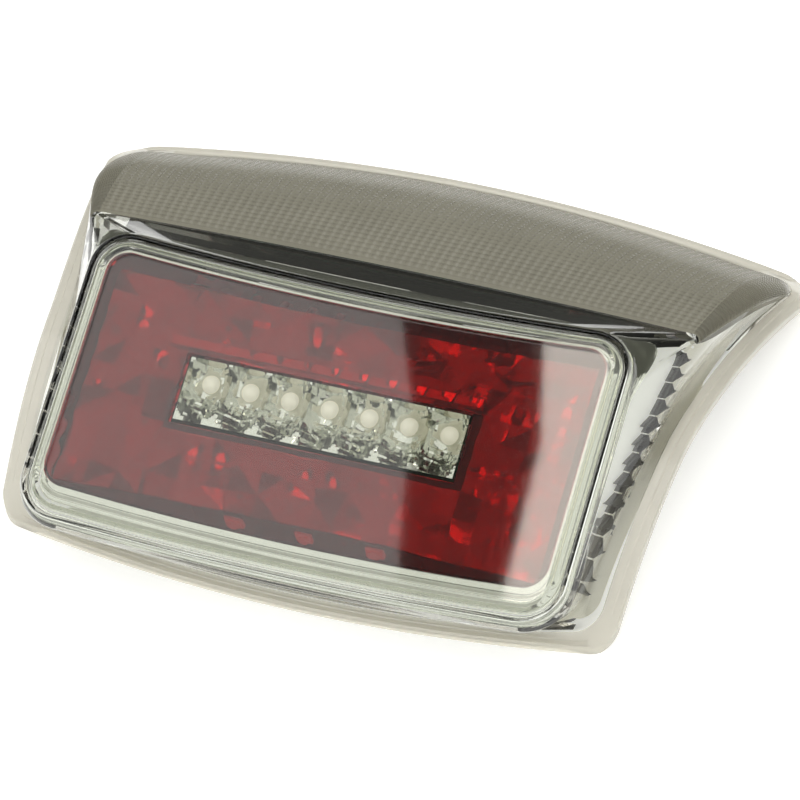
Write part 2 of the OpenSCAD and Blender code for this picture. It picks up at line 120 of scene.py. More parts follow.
# Steps from the flange's foot to the shoulder
WALL_N = 12
# Rows of the deck, from the shoulder, at 0, to the frame's foot, at 1
DECK_AT = np.array([0, 0.15, 0.5, 0.85, 1.0])

random = np.random.default_rng(7)


# ---------------------------------------------------------------- shapes

def corner(x, y, r, start):
    """A quarter of a circle, without its last point."""
    a = np.radians(start + 90 * np.arange(CORNER_N) / CORNER_N)
    return np.column_stack([x + r * np.cos(a), y + r * np.sin(a)])


def between(a, b, t):
    """The point at part t of the way from a to b."""
    return a * (1 - t) + b * t


def side(x0, x1, y0, y1, n):
    """Points from one end of a straight stretch towards the other."""
    t = np.arange(n)[:, None] / n
    return between(np.array([[x0, y0]]), np.array([[x1, y1]]), t)


def loop(half_low, half_high, low, high, r_low, r_high, bow_low, bow_high):
    """A rounded trapezium, counterclockwise from its lower left corner,
    whose lower and upper edges bow outwards."""
    p = np.vstack([
        side(r_low - half_low, half_low - r_low, low, low, LOW_N),
        corner(half_low - r_low, low + r_low, r_low, -90),
        side(half_low, half_high, low + r_low, high - r_high, SIDE_N),
        corner(half_high - r_high, high - r_high, r_high, 0),
        side(half_high - r_high, r_high - half_high, high, high, HIGH_N),
        corner(r_high - half_high, high - r_high, r_high, 90),
        side(-half_high, -half_low, high - r_high, low + r_low, SIDE_N),
        corner(r_low - half_low, low + r_low, r_low, 180)])
    t = (p[:, 1] - low) / (high - low)
    half = half_low + (half_high - half_low) * t
    p[:, 1] += (1 - (p[:, 0] / half) ** 2) * (bow_high * t - bow_low * (1 - t))
    return p


def arch(y, low, high):
    """Height of the arch under the light, zero at both ends."""
    y = np.clip(y, low, high)
    reach = np.where(y < ARCH_Y, ARCH_Y - low, high - ARCH_Y)
    return ARCH_H * (1 - ((y - ARCH_Y) / reach) ** 2)


def rim_row(inset, lift):
    """The cover's edge, inset and lifted."""
    p = loop(RIM_LOW_HALF - inset, RIM_HIGH_HALF - inset,
             RIM_LOW_Y + 0.6 * inset, RIM_HIGH_Y - 0.6 * inset,
             5, RIM_HIGH_R - 0.75 * inset, RIM_LOW_BOW, RIM_HIGH_BOW)
    x, y = p.T
    flare = np.clip((y - WING_START) / (RIM_HIGH_Y - WING_START), 0, None) ** 1.4
    rise = (BACK_RISE * (1 - (x / RIM_HIGH_HALF) ** 2)
            * np.clip(y / RIM_HIGH_Y, 0, None) ** 2)
    z = arch(y, RIM_LOW_Y, RIM_HIGH_Y) + rise + lift
    wide = np.sign(x) * WING_FLARE * flare * np.clip(abs(x) / 60, 0, 1)
    return np.column_stack([x + wide, y, z])


def shoulder_row():
    """The crease between the cover's skirt and its raised middle."""
    p = loop(SHOULDER_LOW_HALF, SHOULDER_HIGH_HALF, SHOULDER_LOW_Y,
             SHOULDER_HIGH_Y, 7, SHOULDER_HIGH_R, 6, 1)
    z = SHOULDER_LOW_Z + SHOULDER_SLOPE * (p[:, 1] - SHOULDER_LOW_Y)
    return np.column_stack([p, z])


def on_face(x, v, h):
    """From the frame of the face (across, up, out of it) to the row's."""
    c, s = math.cos(FACE_TILT), math.sin(FACE_TILT)
    x, v, h = np.broadcast_arrays(x, v, h)
    return np.stack([x, FACE_Y + v * c - h * s, FACE_Z + v * s + h * c], -1)


def face_up(h):
    """A vector of that length out of the face."""
    return on_face(0, 0, h) - on_face(0, 0, 0)


def face_loop(outset):
    """The frame's outline on the face, grown by outset."""
    return loop(FRAME_HALF + outset, FRAME_HALF + outset, FRAME_LOW - outset,
                FRAME_HIGH + outset, FRAME_R + outset, FRAME_R + outset,
                FACE_BOW, -FACE_BOW)


def face_row(outset, h):
    """That outline as a row, at a height over the face."""
    p = face_loop(outset)
    return on_face(p[:, 0], p[:, 1], h)


def wall_row(t):
    """A row between the flange's foot, at 0, and the shoulder, at 1."""
    i = np.arange(COLUMNS)
    foot, top = rim_row(FLANGE_W, FOOT_LIFT), shoulder_row()
    row = between(foot, top, t)
    swell = math.sin(math.pi * t)
    roof = (i >= ROOF_FIRST) & (i <= ROOF_LAST)
    across = abs(2 * (i - ROOF_FIRST) / (ROOF_LAST - ROOF_FIRST) - 1)
    away = np.where(i < ROOF_FIRST, ROOF_FIRST - i, i - ROOF_LAST)
    near = np.where(roof, across ** 4, np.clip(1 - away / SEAM_REACH, 0, 1) ** 2)
    crown = np.where(roof, ROOF_CROWN * (1 - across ** 4), 0)
    dip = np.where(roof, 0, 0.8 * (1 - near))
    row[:, 0] += swell * np.sign(foot[:, 0]) * (SEAM_OUT * near - dip)
    row[:, 1] += swell * 0.45 * crown
    row[:, 2] += swell * (0.9 * crown + SEAM_RISE * near)
    return row


def normals(rows):
    """Outward unit normals of a closed grid of rows."""
    along = np.roll(rows, -1, 1) - np.roll(rows, 1, 1)
    up = np.empty_like(rows)
    up[1:-1] = rows[2:] - rows[:-2]
    up[0] = rows[1] - rows[0]
    up[-1] = rows[-1] - rows[-2]
    n = np.cross(along, up)
    return n / np.linalg.norm(n, axis=2, keepdims=True)


def in_steps(knots, n):
    """Values between knots of (position, height), eased like soft beads."""
    out = []
    for (a, h), (b, g) in zip(knots, knots[1:]):
        for k in range(n):
            t = k / n
            ease = (1 - math.cos(math.pi * t)) / 2
            out.append((a + (b - a) * t, h + (g - h) * ease))
    return out + [knots[-1]]


# ---------------------------------------------------------------- pieces

# A face with this many corners or more is a flat cap.
CAP_CORNERS = 9


def piece(name, points, faces, materials, body, nodes=(), angle=35,
          which=None):
    """A mesh from millimetres, smooth but for edges sharper than angle and
    faces of many corners. which lists each face's place in materials."""
    mesh = bpy.data.meshes.new(name)
    mesh.from_pydata((np.asarray(points).reshape(-1, 3) * MM).tolist(), [],
                     [tuple(int(i) for i in f) for f in faces])
    for mat in materials:
        mesh.materials.append(mat)
    if which is not None:
        mesh.polygons.foreach_set("material_index", [int(w) for w in which])
    mesh.set_sharp_from_angle(angle=math.radians(angle))
    mesh.polygons.foreach_set("use_smooth", [len(f) < CAP_CORNERS for f in faces])
    ob = bpy.data.objects.new(name, mesh)
    bpy.context.scene.collection.objects.link(ob)
    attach(ob, body)
    if nodes:
        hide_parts(*nodes)
    return ob


def shell(outer, inner, kept, cap=False):
    """Points and faces of a closed shell between two grids of rows. kept says
    which cells are there, and cap closes the last row of both skins."""
    rows, columns = outer.shape[:2]
    start = rows * columns
    faces = []

    def there(k, i):
        return 0 <= k < rows - 1 and kept(k, i % columns)

    for k in range(rows - 1):
        for i in range(columns):
            if not there(k, i):
                continue
            a, b = k * columns + i, k * columns + (i + 1) % columns
            c, d = b + columns, a + columns
            faces.append((a, b, c, d))
            faces.append((start + d, start + c, start + b, start + a))
            if not there(k - 1, i):
                faces.append((b, a, start + a, start + b))
            if not there(k + 1, i) and not (cap and k == rows - 2):
                faces.append((d, c, start + c, start + d))
            if not there(k, i - 1):
                faces.append((a, d, start + d, start + a))
            if not there(k, i + 1):
                faces.append((c, b, start + b, start + c))
    if cap:
        last = (rows - 1) * columns
        faces.append(tuple(range(last, last + columns)))
        faces.append(tuple(range(start + last + columns - 1, start + last - 1, -1)))
    return np.concatenate([outer.reshape(-1, 3), inner.reshape(-1, 3)]), faces


def tidy(points, faces):
    """Drops the points that no face uses."""
    used = sorted({i for f in faces for i in f})
    new = {old: k for k, old in enumerate(used)}
    return np.asarray(points)[used], [tuple(new[i] for i in f) for f in faces]


def slab(top, depth):
    """A closed plate from a grid of points, thickened along each point's own
    entry in depth, a grid of vectors."""
    n, m = top.shape[:2]
    under = top + depth
    pts = np.concatenate([top.reshape(-1, 3), under.reshape(-1, 3)])
    s = n * m
    faces = []
    for j in range(n - 1):
        for i in range(m - 1):
            a = j * m + i
            faces.append((a, a + 1, a + m + 1, a + m))
            faces.append((s + a + m, s + a + m + 1, s + a + 1, s + a))
    edge = ([(0, i) for i in range(m)] + [(j, m - 1) for j in range(1, n)]
            + [(n - 1, i) for i in range(m - 2, -1, -1)]
            + [(j, 0) for j in range(n - 2, 0, -1)])
    for (a0, a1), (b0, b1) in zip(edge, edge[1:] + edge[:1]):
        a, b = a0 * m + a1, b0 * m + b1
        faces.append((b, a, s + a, s + b))
    return pts, faces


def turned(profile, n=24):
    """A lathed solid about Z from (radius, height) pairs, ends closed."""
    a = 2 * math.pi * np.arange(n) / n
    pts = [np.column_stack([r * np.cos(a), r * np.sin(a), np.full(n, z)])
           for r, z in profile]
    faces = []
    for k in range(len(profile) - 1):
        for i in range(n):
            j = (i + 1) % n
            faces.append((k * n + i, k * n + j, (k + 1) * n + j, (k + 1) * n + i))
    faces.append(tuple(range(n - 1, -1, -1)))
    faces.append(tuple(range((len(profile) - 1) * n, len(profile) * n)))
    return np.concatenate(pts), faces


def block(low, high, chamfer=0.2):
    """A box between two corners whose upper edges are chamfered."""
    (x0, y0, z0), (x1, y1, z1) = low, high
    c = chamfer
    pts = []
    for z, d in ((z0, 0), (z1 - c, 0), (z1, c)):
        pts += [(x0 + d, y0 + d, z), (x1 - d, y0 + d, z), (x1 - d, y1 - d, z),
                (x0 + d, y1 - d, z)]
    faces = [(3, 2, 1, 0), (8, 9, 10, 11)]
    for k in (0, 4):
        faces += [(k + i, k + (i + 1) % 4, k + 4 + (i + 1) % 4, k + 4 + i)
                  for i in range(4)]
    return np.array(pts, float), faces


def joined(*parts):
    """Points, faces and each face's part number of several meshes."""
    pts, faces, which = [], [], []
    start = 0
    for k, (p, f) in enumerate(parts):
        pts.append(np.asarray(p, float).reshape(-1, 3))
        faces += [tuple(i + start for i in q) for q in f]
        which += [k] * len(f)
        start += len(pts[-1])
    return np.concatenate(pts), faces, which


def span(node):
    """A CAD node's lowest and highest corner in millimetres."""
    low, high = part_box(node)
    return np.array(low) / MM, np.array(high) / MM


# ------------------------------------------------------------- materials

def surface(name, colour, rough, metal=0.0, vary=0.08, patch=6.0, grain=0.8,
            bump=0.15, dark=None, **sockets):
    """A Principled material whose shade and gloss vary in patches, and whose
    surface has a fine grain, both sizes in millimetres."""
    mat = bpy.data.materials.new(name)
    mat.use_nodes = True
    tree = mat.node_tree
    shader = tree.nodes["Principled BSDF"]
    where = tree.nodes.new("ShaderNodeTexCoord")

    def noise(size, detail):
        node = tree.nodes.new("ShaderNodeTexNoise")
        node.inputs["Scale"].default_value = 1 / (size * MM)
        node.inputs["Detail"].default_value = detail
        tree.links.new(where.outputs["Object"], node.inputs["Vector"])
        return node.outputs["Fac"]

    patches = noise(patch, 3)
    mix = tree.nodes.new("ShaderNodeMix")
    mix.data_type = "RGBA"
    low = dark or [c * (1 - vary) for c in colour]
    high = colour if dark else [min(1, c * (1 + vary)) for c in colour]
    mix.inputs[6].default_value = (*low, 1)
    mix.inputs[7].default_value = (*high, 1)
    tree.links.new(patches, mix.inputs[0])
    tree.links.new(mix.outputs[2], shader.inputs["Base Color"])
    gloss = tree.nodes.new("ShaderNodeMapRange")
    gloss.inputs["To Min"].default_value = rough * 0.75
    gloss.inputs["To Max"].default_value = rough * 1.25
    tree.links.new(patches, gloss.inputs["Value"])
    tree.links.new(gloss.outputs["Result"], shader.inputs["Roughness"])
    if bump:
        relief = tree.nodes.new("ShaderNodeBump")
        relief.inputs["Strength"].default_value = bump
        relief.inputs["Distance"].default_value = 0.1 * MM
        tree.links.new(noise(grain, 2), relief.inputs["Height"])
        tree.links.new(relief.outputs["Normal"], shader.inputs["Normal"])
    shader.inputs["Metallic"].default_value = metal
    for key, value in sockets.items():
        shader.inputs[key.replace("_", " ")].default_value = value
    return mat


CLEAR = surface("clear_plastic", (0.95, 0.96, 0.92), 0.03, vary=0.01, bump=0.02,
                grain=6, Transmission_Weight=1.0, IOR=1.49)
FLANGE = surface("flange_plastic", (0.84, 0.81, 0.71), 0.12, vary=0.04, bump=0.05,
                 Transmission_Weight=0.45, IOR=1.49)
ROOF = surface("smoky_prisms", (0.33, 0.315, 0.245), 0.16, vary=0.12, patch=14,
               bump=0.1, Transmission_Weight=0.3, IOR=1.49)
RED = surface("red_plastic", (0.52, 0.030, 0.032), 0.03, vary=0.12, patch=9,
              bump=0.02, grain=3, Transmission_Weight=0.96, IOR=1.49)
CHROME = surface("chrome", (0.62, 0.63, 0.57), 0.07, 1.0, vary=0.06, bump=0.05,
                 grain=2.5)
# Darker chromes that the tray's facets take at random, as painted darker
# reflections.
MID_REFLECTION_CHROME = surface("chrome_painted_mid_reflection", (0.5, 0.5, 0.46), 0.12, 1.0, vary=0.1)
DARK_REFLECTION_CHROME = surface("chrome_painted_dark_reflection", (0.22, 0.20, 0.17), 0.2, 1.0, vary=0.2, bump=0.1)
# Glows faintly though it is no lamp: painted light for the bright silver band under
# the deck.
DECK_GLOW_WHITE = surface("deck_liner_painted_glow", (1.0, 1.0, 0.97), 0.35, vary=0.01, bump=0.1,
                 Emission_Color=(1, 1, 0.95, 1), Emission_Strength=0.22)
LINER = surface("cream_liner", (0.88, 0.85, 0.75), 0.3, vary=0.04, bump=0.1)
POLISHED = surface("polished_chrome", (0.95, 0.95, 0.92), 0.04, 1.0, vary=0.02,
                   bump=0.02)
# Black for the teeth, and for the oval that paints the shadow under the frame's
# corner.
DARK_TEETH_AND_SHADOW = surface("dark_prisms_and_painted_shadow", (0.010, 0.010, 0.007), 0.3, vary=0.4, patch=2.5,
                bump=0.1)
BLACK = surface("black_plastic", (0.022, 0.022, 0.024), 0.45, vary=0.2, bump=0.5)
RUBBER = surface("rubber", (0.015, 0.015, 0.015), 0.75, vary=0.25, grain=0.5,
                 bump=0.6)
STEEL = surface("plated_steel", (0.62, 0.61, 0.58), 0.28, 1.0, vary=0.08,
                grain=0.4, bump=0.3)
BRASS = surface("brass", (0.72, 0.52, 0.22), 0.3, 1.0, vary=0.1, grain=0.4)
BOARD = surface("circuit_board", (0.03, 0.16, 0.06), 0.35, dark=(0.015, 0.09, 0.035),
                patch=3, grain=0.6, bump=0.4, Coat_Weight=0.3)
CHIP = surface("chip_plastic", (0.03, 0.03, 0.032), 0.5, vary=0.2, grain=0.3)
# The faint glow is a painted highlight on the domes, not the LEDs' own light.
GLOWING_EPOXY = surface("led_epoxy", (1.0, 0.96, 0.82), 0.06, vary=0.02, bump=0.02,
                Emission_Color=(1, 0.93, 0.75, 1), Emission_Strength=0.22, IOR=1.53)
WHITE = surface("white_plastic", (0.78, 0.77, 0.72), 0.4, vary=0.05)
TAN = surface("resistor_body", (0.62, 0.50, 0.30), 0.45, vary=0.08)
BAND = surface("resistor_bands", (0.30, 0.05, 0.03), 0.45, vary=0.2)
SLEEVE = surface("capacitor_sleeve", (0.03, 0.035, 0.08), 0.3, vary=0.2)


# ----------------------------------------------------------------- cover

# Outset from the frame's outline and height over the face, between the beads.
FRAME_BEADS = [(0.6, -3.0), (0.1, -1.2), (-0.7, 0.9), (-2.0, -0.5), (-3.4, 0.6),
               (-4.6, 0.0)]
# Inset and lift of the flange's rows on the outside and on the inside.
FLANGE_ROWS = [((0, 0), (1.7, 0)), ((0, 1.7), (1.75, 0.15)),
               ((0.3, 2.05), (1.8, 0.3)), ((1.7, 2.1), (2.2, 0.3)),
               ((2.0, 2.4), (2.6, 0.5)), ((3.6, 2.5), (4.2, 0.7))]
FOOT_ROW = len(FLANGE_ROWS)
SHOULDER_AT = FOOT_ROW + WALL_N


def middle_rows(beads):
    """The cover's rows from the flange's foot to the flat face."""
    rows = [wall_row(k / WALL_N) for k in range(WALL_N + 1)]
    base = face_row(*FRAME_BEADS[0])
    rows += [between(rows[-1], base, t) for t in DECK_AT[1:-1]]
    return np.array(rows + [face_row(o, h) for o, h in beads])


def under(rows, depth):
    """Rows that lie a distance under others."""
    return rows - normals(rows) * depth


def is_roof(k, i):
    """Whether the cell at row k and column i belongs to the roof."""
    return FOOT_ROW <= k < SHOULDER_AT and ROOF_FIRST <= i < ROOF_LAST


BEADS = in_steps(FRAME_BEADS, 4)
# The same rows without the beads, for what follows the cover's inside.
FLAT = [(o, min(h, 0) if o > 0 else 0) for o, h in BEADS]


def side_skin():
    """The cover's rows without beads, from the flange to the frame's foot."""
    return middle_rows(FLAT)[:WALL_N + len(DECK_AT)]


def cover():
    """The clear cover: flange, sides, deck, frame and face, without the roof."""
    skin = middle_rows(BEADS)
    smooth = middle_rows(FLAT)
    outer = np.concatenate([[rim_row(*a) for a, b in FLANGE_ROWS], skin])
    inner = np.concatenate([[rim_row(*b) for a, b in FLANGE_ROWS],
                            under(smooth, WALL)])
    pts, faces = shell(outer, inner, lambda k, i: not is_roof(k, i), cap=True)
    pts, faces = tidy(pts, faces)
    flange = FOOT_ROW * COLUMNS
    total = len(pts) // 2
    which = [int(all(i % total < flange for i in f)) for f in faces]
    piece("clear_cover", pts, faces, [CLEAR, FLANGE], "cover",
          ["outer_lens"], which=which)


# ------------------------------------------------------------------ roof

# Grid cells and pyramids of the roof, across and along it.
ROOF_ACROSS = 300
ROOF_ALONG = 96
PRISM_ACROSS = 100
PRISM_ALONG = 32
PRISM_H = 0.5
# The posts under the roof that hold the inserts, as in the CAD model.
POST_R = 3.8
POST_HOLE_R = 2.6
POST_LOW = 10.9
POST_HOLE_TOP = 15.2
POST_TOP = 17.0
POST_SLOPE = math.tan(math.radians(30.2))


def fine_roof():
    """The roof's skin as a fine grid, from its seam on the right to the left
    and from its front edge to the back."""
    t = np.linspace(1, 0, ROOF_ALONG + 1)
    i = np.linspace(ROOF_FIRST, ROOF_LAST, ROOF_ACROSS + 1)
    grid = []
    for step in t:
        row = wall_row(step)
        grid.append(np.column_stack([
            np.interp(i, np.arange(COLUMNS), row[:, k]) for k in range(3)]))
    return np.array(grid)


def grid_normals(grid):
    """Unit normals of an open grid of points."""
    along = np.gradient(grid, axis=1)
    up = np.gradient(grid, axis=0)
    n = np.cross(up, along)
    return n / np.linalg.norm(n, axis=2, keepdims=True)


def prisms(grid):
    """Height of the little pyramids over the roof's grid."""
    n, m = grid.shape[:2]
    j, i = np.mgrid[0:n, 0:m]
    a = (i / (m - 1) * PRISM_ACROSS) % 1
    b = (j / (n - 1) * PRISM_ALONG) % 1
    h = np.minimum(1 - abs(2 * a - 1), 1 - abs(2 * b - 1))
    border = np.minimum.reduce([i / 8, (m - 1 - i) / 14, j / 3, (n - 1 - j) / 9])
    return PRISM_H * h * np.clip(border, 0, 1)


def roof():
    """The smoky roof with its pyramids, and the screw posts under it."""
    grid = fine_roof()
    n = grid_normals(grid)
    if n[:, :, 2].mean() < 0:
        n = -n
    top = grid + n * prisms(grid)[:, :, None]
    parts = [slab(top[:, ::-1], (-WALL * n)[:, ::-1])]
    for x in (-SCREW_X, SCREW_X):
        tube, tube_faces = turned([(POST_HOLE_R, POST_HOLE_TOP),
                                   (POST_HOLE_R, POST_LOW), (POST_R, POST_LOW),
                                   (POST_R, POST_TOP)])
        head = tube[:, 2] > POST_HOLE_TOP
        tube[head, 2] -= POST_SLOPE * tube[head, 1]
        parts.append((tube + [x, SCREW_Y, 0], tube_faces))
    pts, faces, _ = joined(*parts)
    piece("roof_prisms", pts, faces, [ROOF], "cover",
          ["roof_lens"], angle=20)


# ---------------------------------------------------- frame ring and sides

def red_loop(outset):
    """The red lens's outline on the face, grown by outset."""
    p = loop(RED_HALF + outset, RED_HALF + outset, RED_LOW - outset,
             RED_HIGH + outset, RED_R + outset, RED_R + outset, FACE_BOW,
             -FACE_BOW)
    return p + [RED_X, 0]


def deck(t, i, depth):
    """Points of columns i under the deck, from the shoulder, at 0, to the
    frame's foot, at 1, that far below the cover's outside."""
    rows = under(middle_rows(FLAT), depth)[WALL_N:]
    t = np.broadcast_to(t, i.shape)
    j = np.clip(np.searchsorted(DECK_AT, t, "right") - 1, 0, len(DECK_AT) - 2)
    part = ((t - DECK_AT[j]) / (DECK_AT[j + 1] - DECK_AT[j]))[:, None]
    return between(rows[j, i], rows[j + 1, i], part)


# The ring's outer bead: place over the deck, and depth under its inside.
DECK_BEAD = [(0.50, 1.6), (0.56, 0.35), (0.70, 0.3), (0.80, 0.9), (0.94, 0.8)]
# Its channel and inner bead: place from the frame's foot to the red lens's
# edge, and height over the face.
FACE_BEADS = [(0.42, -3.6), (0.55, -3.0), (0.68, -3.4), (0.82, -2.2),
              (0.93, -2.0), (1.0, -2.5)]
RING_T = 0.8
# The outer bead's width at the sides and below, as a part of that at the roof.
SIDE_WIDTH = 0.12


def bezel():
    """The chromed ring under the frame: an outer bead which climbs on to the
    deck on the roof's side, a channel and an inner bead."""
    i = np.arange(COLUMNS)
    v = face_loop(0)[:, 1]
    at_roof = np.clip((v - FRAME_HIGH + 14) / 12, 0, 1)
    wide = between(SIDE_WIDTH, 1, at_roof)
    rows = [deck(1 - (1 - t) * wide, i, WALL + sunk)
            for t, sunk in in_steps(DECK_BEAD, 3)]
    foot, edge = face_loop(FRAME_BEADS[0][0]), red_loop(-0.6)
    rows += [on_face(*between(foot, edge, t).T, h)
             for t, h in in_steps(FACE_BEADS, 4)]
    tops = np.array(rows)
    pts, faces = shell(tops, tops - face_up(RING_T), lambda k, i: True)
    piece("chrome_bezel", pts, faces, [CHROME], "cover",
          ["chrome_surround"], angle=60)


# Columns past the shoulder's corner that the liner goes on under the deck
DECK_REACH = 7
LINER_GAP = 1.3
LINER_T = 0.5
TEETH = 14
# The teeth's start below the roof, and the pitch of the first and last
TEETH_START = 1.2
TOOTH_TOP = 3.4
TOOTH_LOW = 6.0
# Depths of a tooth's rim, foot and crest under the cover's outside
TOOTH_RIM = 0.6
TOOTH_FOOT = WALL + 1.4
TOOTH_CREST = 0.2


def handed(points, faces, hand):
    """A mesh of the right side, mirrored to the left when hand is -1."""
    points = points * [hand, 1, 1]
    return points, faces if hand > 0 else [f[::-1] for f in faces]


def liner(hand):
    """Half of the bright liner under the cover's sides, with its dark tooth prisms;
    its part under the deck glows as a painted highlight, and a black oval
    paints the shadow in the lower corner.
    """
    skin = side_skin()
    top = under(skin, WALL + LINER_GAP)
    base = under(skin, WALL + LINER_GAP + LINER_T)
    middle = LOW_N // 2
    if hand > 0:
        first, last = middle, ROOF_FIRST
        deck_cells = set(range(first, last + DECK_REACH))
    else:
        first, last = ROOF_LAST, COLUMNS + middle
        deck_cells = {i % COLUMNS for i in range(first - DECK_REACH, last)}
    cells = {i % COLUMNS for i in range(first, last)}

    def kept(k, i):
        return i in (deck_cells if k >= WALL_N else cells)

    pts, faces = shell(top, base, kept)
    deck_start = WALL_N * COLUMNS
    total = len(pts) // 2
    on_deck = [int(min(i % total for i in f) >= deck_start) for f in faces]
    # The last piece is the black oval of painted shadow.
    teeth_and_shadow_oval = [tooth(hand, k) for k in range(TEETH)] + [shadow_oval(hand)]
    points, all_faces, _ = joined(tidy(pts, faces), *teeth_and_shadow_oval)
    name = "left" if hand < 0 else "right"
    # Faces under the deck take the glow, a painted highlight; the teeth and the
    # shadow oval take the black.
    piece("side_prisms_" + name, points, all_faces, [LINER, DECK_GLOW_WHITE, DARK_TEETH_AND_SHADOW],
          "cover", ["side_reflector_" + name],
          which=on_deck + [2] * (len(all_faces) - len(faces)))


def shadow_oval(hand):
    """A black oval in the lower corner, between frame and shoulder, that paints the
    shadow under the frame's corner.
    """
    i = np.array([LOW_N + 2])
    spot, = deck(0.45, i, WALL + 1.0)
    along, = deck(0.45, i + 3, WALL + 1.0)
    angle = math.atan2(along[1] - spot[1], along[0] - spot[0])
    c, s = math.cos(angle), math.sin(angle)
    pts, faces = turned([(1.0, -0.8), (1.0, 0.3), (0.8, 0.6), (0.3, 0.3)])
    x, y, z = (pts * [4.4, 1.7, 1]).T
    turn = np.column_stack([c * x - s * y, s * x + c * y, z])
    return handed(turn + spot, faces, hand)


def side_point(along, out, depth):
    """A point of the right side: along the crease down from the roof, out
    from it towards the flange, and that far under the cover's outside."""
    columns = np.arange(RIGHT_FIRST, ROOF_FIRST + 1)
    crease = shoulder_row()[columns][::-1]
    steps = np.linalg.norm(np.diff(crease, axis=0), axis=1)
    along_by = np.concatenate([[0], steps.cumsum()])
    skin = side_skin()
    lifts = np.linalg.norm(np.diff(skin, axis=0), axis=2)
    out_by = -np.concatenate([np.zeros((1, COLUMNS)), lifts.cumsum(0)])
    out_by = (out_by - out_by[WALL_N])[::-1]
    deep = under(skin, depth)[::-1]
    line = np.array([[np.interp(out, out_by[:, i], deep[:, i, axis])
                      for axis in range(3)] for i in columns])[::-1]
    return [np.interp(along, along_by, line[:, axis]) for axis in range(3)]


def tooth(hand, k):
    """A dark prism across the shoulder, with a spike on the middle ones. Its
    rim has parts of the pitch along the crease, and distances out from it."""
    pitches = np.linspace(TOOTH_TOP, TOOTH_LOW, TEETH)
    start, pitch = TEETH_START + pitches[:k].sum(), pitches[k]
    size = 0.6 + 0.4 * k / (TEETH - 1)
    rim = [(0.0, -4.6 * size), (0.86, -0.2), (0.97, 1.8 * size),
           (0.88, -5.4 * size)]
    if 3 < k < 10:
        rim += [(0.56, -5.1 * size), (0.34, -8.2 * size)]
    n = len(rim)
    places = [(t, out, TOOTH_RIM) for t, out in rim]
    places += [(t, out, TOOTH_FOOT) for t, out in rim]
    places.append((0.7, -2.6 * size, TOOTH_CREST))
    points = np.array([side_point(start + t * pitch, out, depth)
                       for t, out, depth in places])
    faces = [(j, (j + 1) % n, 2 * n) for j in range(n)]
    faces += [((j + 1) % n, j, n + j, n + (j + 1) % n) for j in range(n)]
    faces.append(tuple(range(2 * n - 1, n - 1, -1)))
    return handed(points, faces, hand)


# ---------------------------------------------------- red lens, reflectors

def face_grid(x0, x1, v0, v1, n, m):
    """Across and up values of a grid of n by m cells on the face."""
    return np.meshgrid(np.linspace(x0, x1, n + 1), np.linspace(v0, v1, m + 1))


def window_loop():
    """The window's outline, whose corners face those of the red lens."""
    hole = np.array([(WINDOW_X + hand * WINDOW_HALF, v)
                     for hand, v in ((-1, WINDOW_LOW), (1, WINDOW_LOW),
                                     (1, WINDOW_HIGH), (-1, WINDOW_HIGH))])
    half_corner = CORNER_N // 2
    starts = [-half_corner, LOW_N + half_corner, ROOF_FIRST + half_corner,
              ROOF_LAST - half_corner, COLUMNS - half_corner]
    inner = np.empty((COLUMNS, 2))
    for edge, (a, b) in enumerate(zip(starts, starts[1:])):
        for i in range(a, b):
            inner[i % COLUMNS] = between(hole[edge], hole[(edge + 1) % 4],
                                         (i - a) / (b - a))
    return inner


# Width and height of the pillows under the red lens, and the plate's rows.
PILLOW = 6.0
PILLOW_H = 0.5
PLATE_STEPS = 24


def red_lens():
    """The red plate, with a pillow pattern below and a hole for the LEDs."""
    top, low = [], []
    for k in range(PLATE_STEPS + 1):
        x, v = between(red_loop(0), window_loop(), k / PLATE_STEPS).T
        pillow = abs(np.sin(x * math.pi / PILLOW) * np.sin(v * math.pi / PILLOW))
        edge = min(k, PLATE_STEPS - k, 3) / 3
        top.append(on_face(x, v, RED_TOP))
        low.append(on_face(x, v, RED_UNDER + PILLOW_H * pillow * edge))
    pts, faces = shell(np.array(top), np.array(low), lambda k, i: True)
    piece("red_plate", pts, faces, [RED], "cover", ["red_lens"])


CELL = 6.0
TRAY_T = 1.0
# How much its edges bow inwards, and the height up the face that stays put.
TRAY_BOW = 1.8
TRAY_MIDDLE = 27.0
# How far a facet's corner may lie from its place, across and in depth.
FACET_SHIFT = 1.1
# The parts of the facets in each of the tray's three chromes: bright, and two
# # darker ones that paint darker reflections.
CHROME_PARTS = [0.55, 0.27, 0.18]


def facets(top, low, is_open):
    """Faces of a closed tray between two grids: triangles on the upper side,
    and none where is_open says so."""
    n, m = top.shape[:2]
    s = n * m
    faces = []

    def there(j, i):
        if not (0 <= j < n - 1 and 0 <= i < m - 1):
            return False
        return not (is_open[j, i] and is_open[j + 1, i + 1])

    for j in range(n - 1):
        for i in range(m - 1):
            if not there(j, i):
                continue
            a, d = j * m + i, (j + 1) * m + i
            b, c = a + 1, d + 1
            if (i + j) % 2:
                faces += [(a, b, c), (a, c, d)]
            else:
                faces += [(a, b, d), (b, c, d)]
            faces.append((s + d, s + c, s + b, s + a))
            for (p, q), beside in (((a, b), (j - 1, i)), ((b, c), (j, i + 1)),
                                   ((c, d), (j + 1, i)), ((d, a), (j, i - 1))):
                if not there(*beside):
                    faces.append((q, p, s + p, s + q))
    return tidy(np.concatenate([top.reshape(-1, 3), low.reshape(-1, 3)]), faces)


